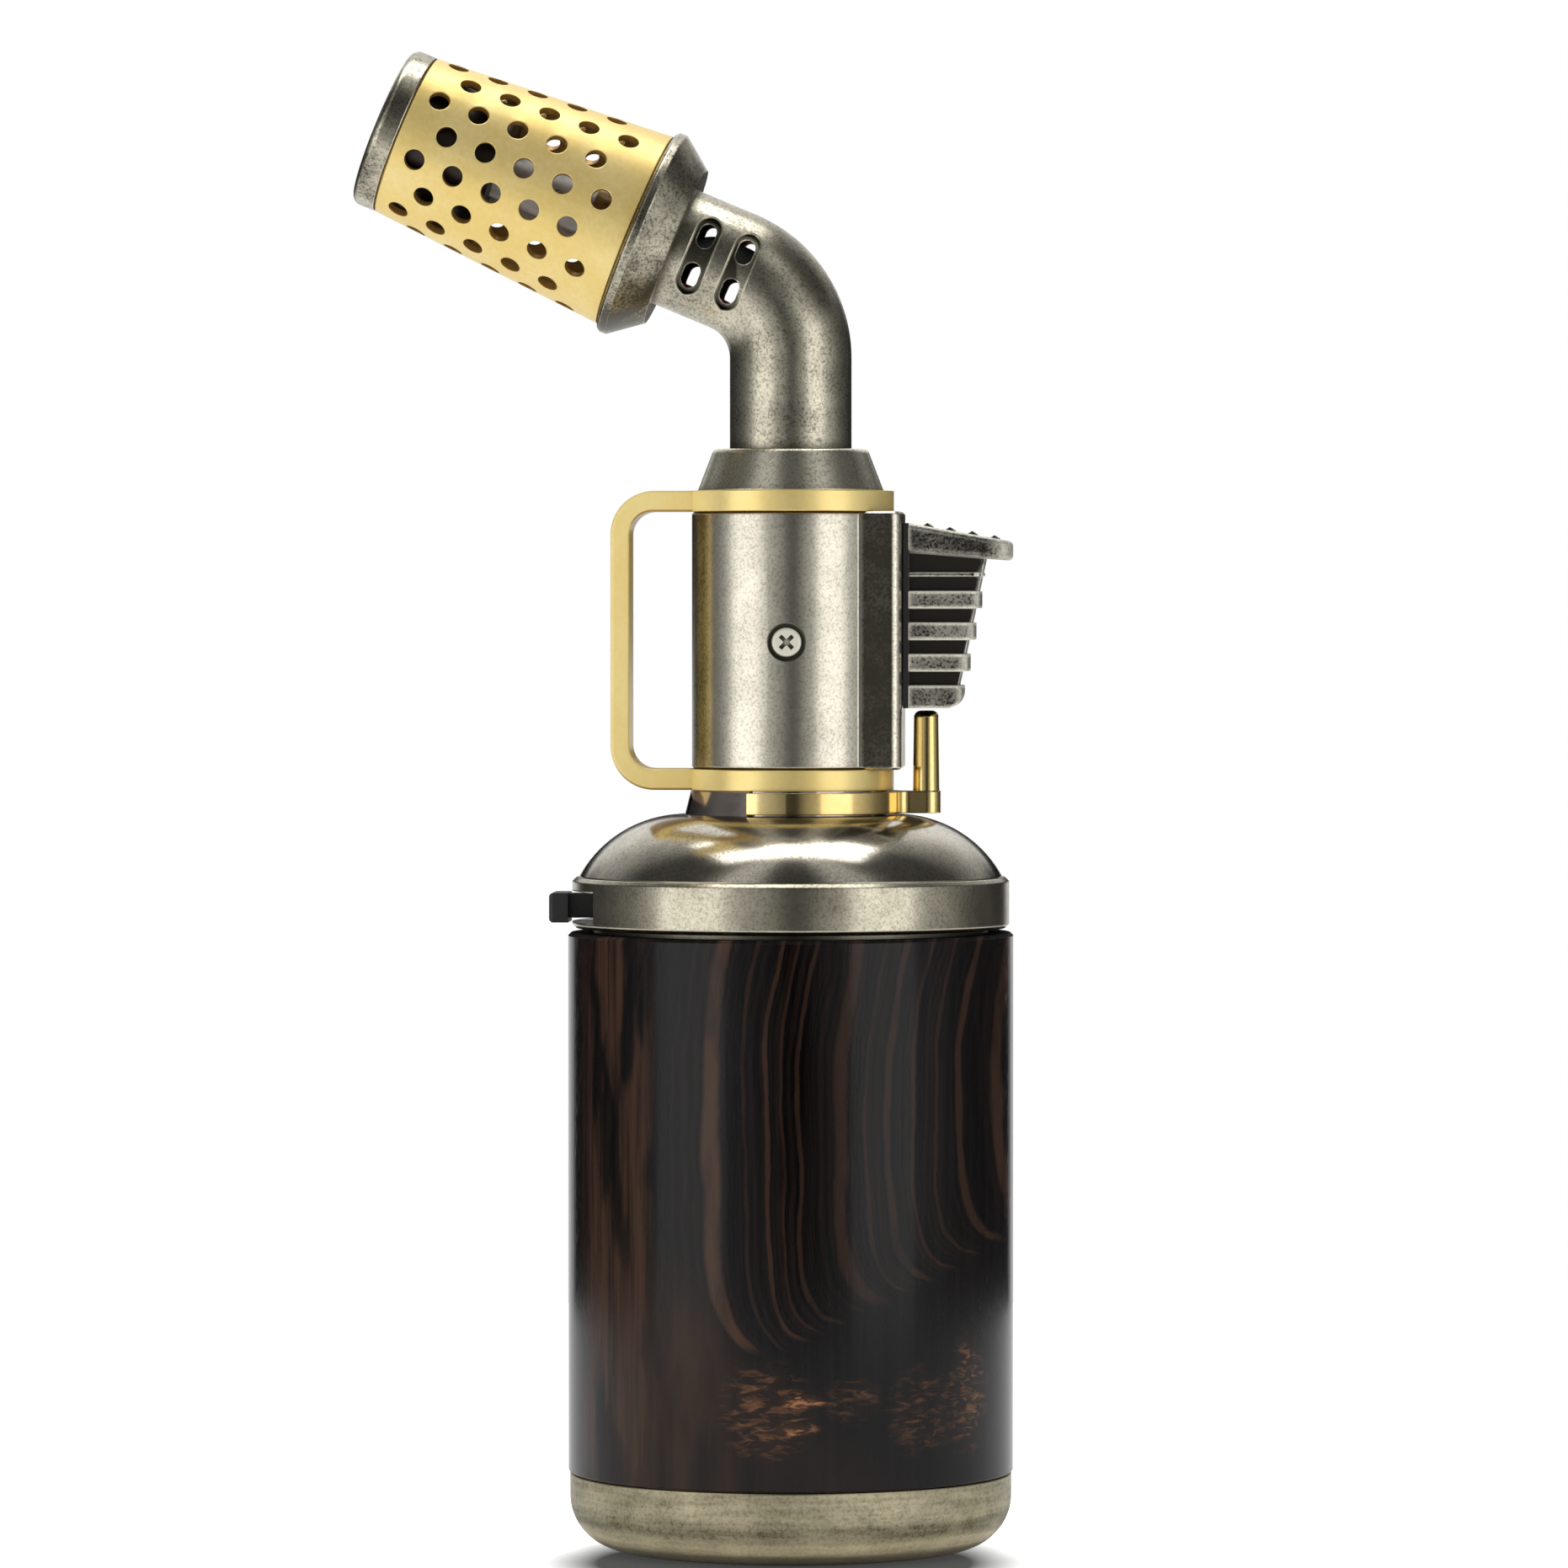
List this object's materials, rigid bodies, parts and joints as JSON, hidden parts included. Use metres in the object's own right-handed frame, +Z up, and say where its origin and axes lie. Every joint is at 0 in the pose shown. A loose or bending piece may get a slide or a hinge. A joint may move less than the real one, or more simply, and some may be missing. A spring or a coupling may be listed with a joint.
{
  "type": "table torch lighter",
  "caption": "Refillable table torch lighter: round wood-clad fuel base, thumb trigger with side catch, back loop and a perforated burner on a bent tube.",
  "frame": {"origin": "centre of the foot, on the surface that the lighter stands on", "axes": "+Z up along the neck and the base, -X towards the burner's mouth, +X towards the trigger"},
  "size_m": [0.0682, 0.046, 0.1545],
  "materials": {
    "pewter": "antique pewter plating, satin, with a dark speckled patina",
    "dark_pewter": "polished antique pewter",
    "gunmetal": "black nickel, polished",
    "gold": "gold plated, satin polished",
    "polished_gold": "gold plated, mirror polished",
    "brass": "machined",
    "bright_steel": "bright",
    "ebony": "dark striped wood under gloss lacquer",
    "black_plastic": "fine satin",
    "igniter_plastic": "moulded, glossy",
    "hose": "smooth flexible tube",
    "seal": "moulded",
    "wire_insulation": "smooth insulation",
    "ceramic": "fired, unglazed"
  },
  "bodies": {
    "lighter": {"base_cup": "pewter", "wood_sleeve": "ebony", "fuel_tank": "brass", "shoulder_ring": "pewter", "dome": "dark_pewter", "lock_collar": "gunmetal", "neck_nut": "brass", "handle": "gold", "neck_casing": "pewter", "frame_screws": "bright_steel", "inner_frame": "bright_steel", "top_collar": "pewter", "elbow_tube": "pewter", "rear_cap": "pewter", "heat_shroud": "gold", "front_ring": "pewter", "jet_holder": "brass", "gas_jet": "brass", "mixing_tube": "bright_steel", "flame_cup": "bright_steel", "flame_holder": "brass", "ignition_wire": "wire_insulation", "electrode_insulator": "ceramic", "electrode": "bright_steel", "gas_hose": "hose", "gas_valve_body": "brass", "valve_seal": "seal", "valve_spring": "bright_steel", "rocker_pin": "bright_steel", "piezo_body": "igniter_plastic", "piezo_spring": "bright_steel", "filler_valve_body": "brass", "filler_seal": "seal", "filler_spring": "bright_steel"},
    "trigger": {"trigger": "pewter", "trigger_slider": "black_plastic"},
    "plunger": {"piezo_plunger": "igniter_plastic"},
    "rocker": {"valve_rocker": "bright_steel"},
    "valve_stem": {"valve_stem": "brass"},
    "adjuster": {"flame_adjuster": "black_plastic"},
    "lock": {"lock_lever": "polished_gold"},
    "filler_stem": {"filler_stem": "brass"}
  },
  "joints": [
    {"name": "trigger_press", "type": "slide", "parent": "lighter", "child": "trigger", "axis": [0, 0, -1], "range_m": [0, 0.005], "stiffness_N_per_m": 1000, "springref_m": -0.006},
    {"name": "plunger_press", "type": "slide", "parent": "lighter", "child": "plunger", "axis": [0, 0, -1], "range_m": [0, 0.005], "deforming": ["piezo_spring"]},
    {"name": "rocker_tilt", "type": "hinge", "parent": "lighter", "child": "rocker", "pos_m": [0.0028, 0, 0.07005], "axis": [0, 1, 0], "range_deg": [0, 14.4]},
    {"name": "stem_lift", "type": "slide", "parent": "lighter", "child": "valve_stem", "axis": [0, 0, 1], "range_m": [0, 0.00071], "deforming": ["valve_spring"]},
    {"name": "lock_turn", "type": "hinge", "parent": "lighter", "child": "lock", "pos_m": [0, 0, 0.07708], "axis": [0, 0, 1], "range_deg": [0, 8]},
    {"name": "flame_adjust", "type": "hinge", "parent": "lighter", "child": "adjuster", "pos_m": [0, 0, 0.06635], "axis": [0, 0, 1], "range_deg": [-20, 20]},
    {"name": "filler_press", "type": "slide", "parent": "lighter", "child": "filler_stem", "axis": [0, 0, 1], "range_m": [0, 0.0015], "stiffness_N_per_m": 400, "springref_m": -0.003, "deforming": ["filler_spring"]}
  ],
  "couplings": [
    {"joint": "plunger_press", "follows": "trigger_press", "ratio": 1},
    {"joint": "rocker_tilt", "follows": "trigger_press", "rad_per_m": 50},
    {"joint": "stem_lift", "follows": "trigger_press", "ratio": 0.14}
  ]
}
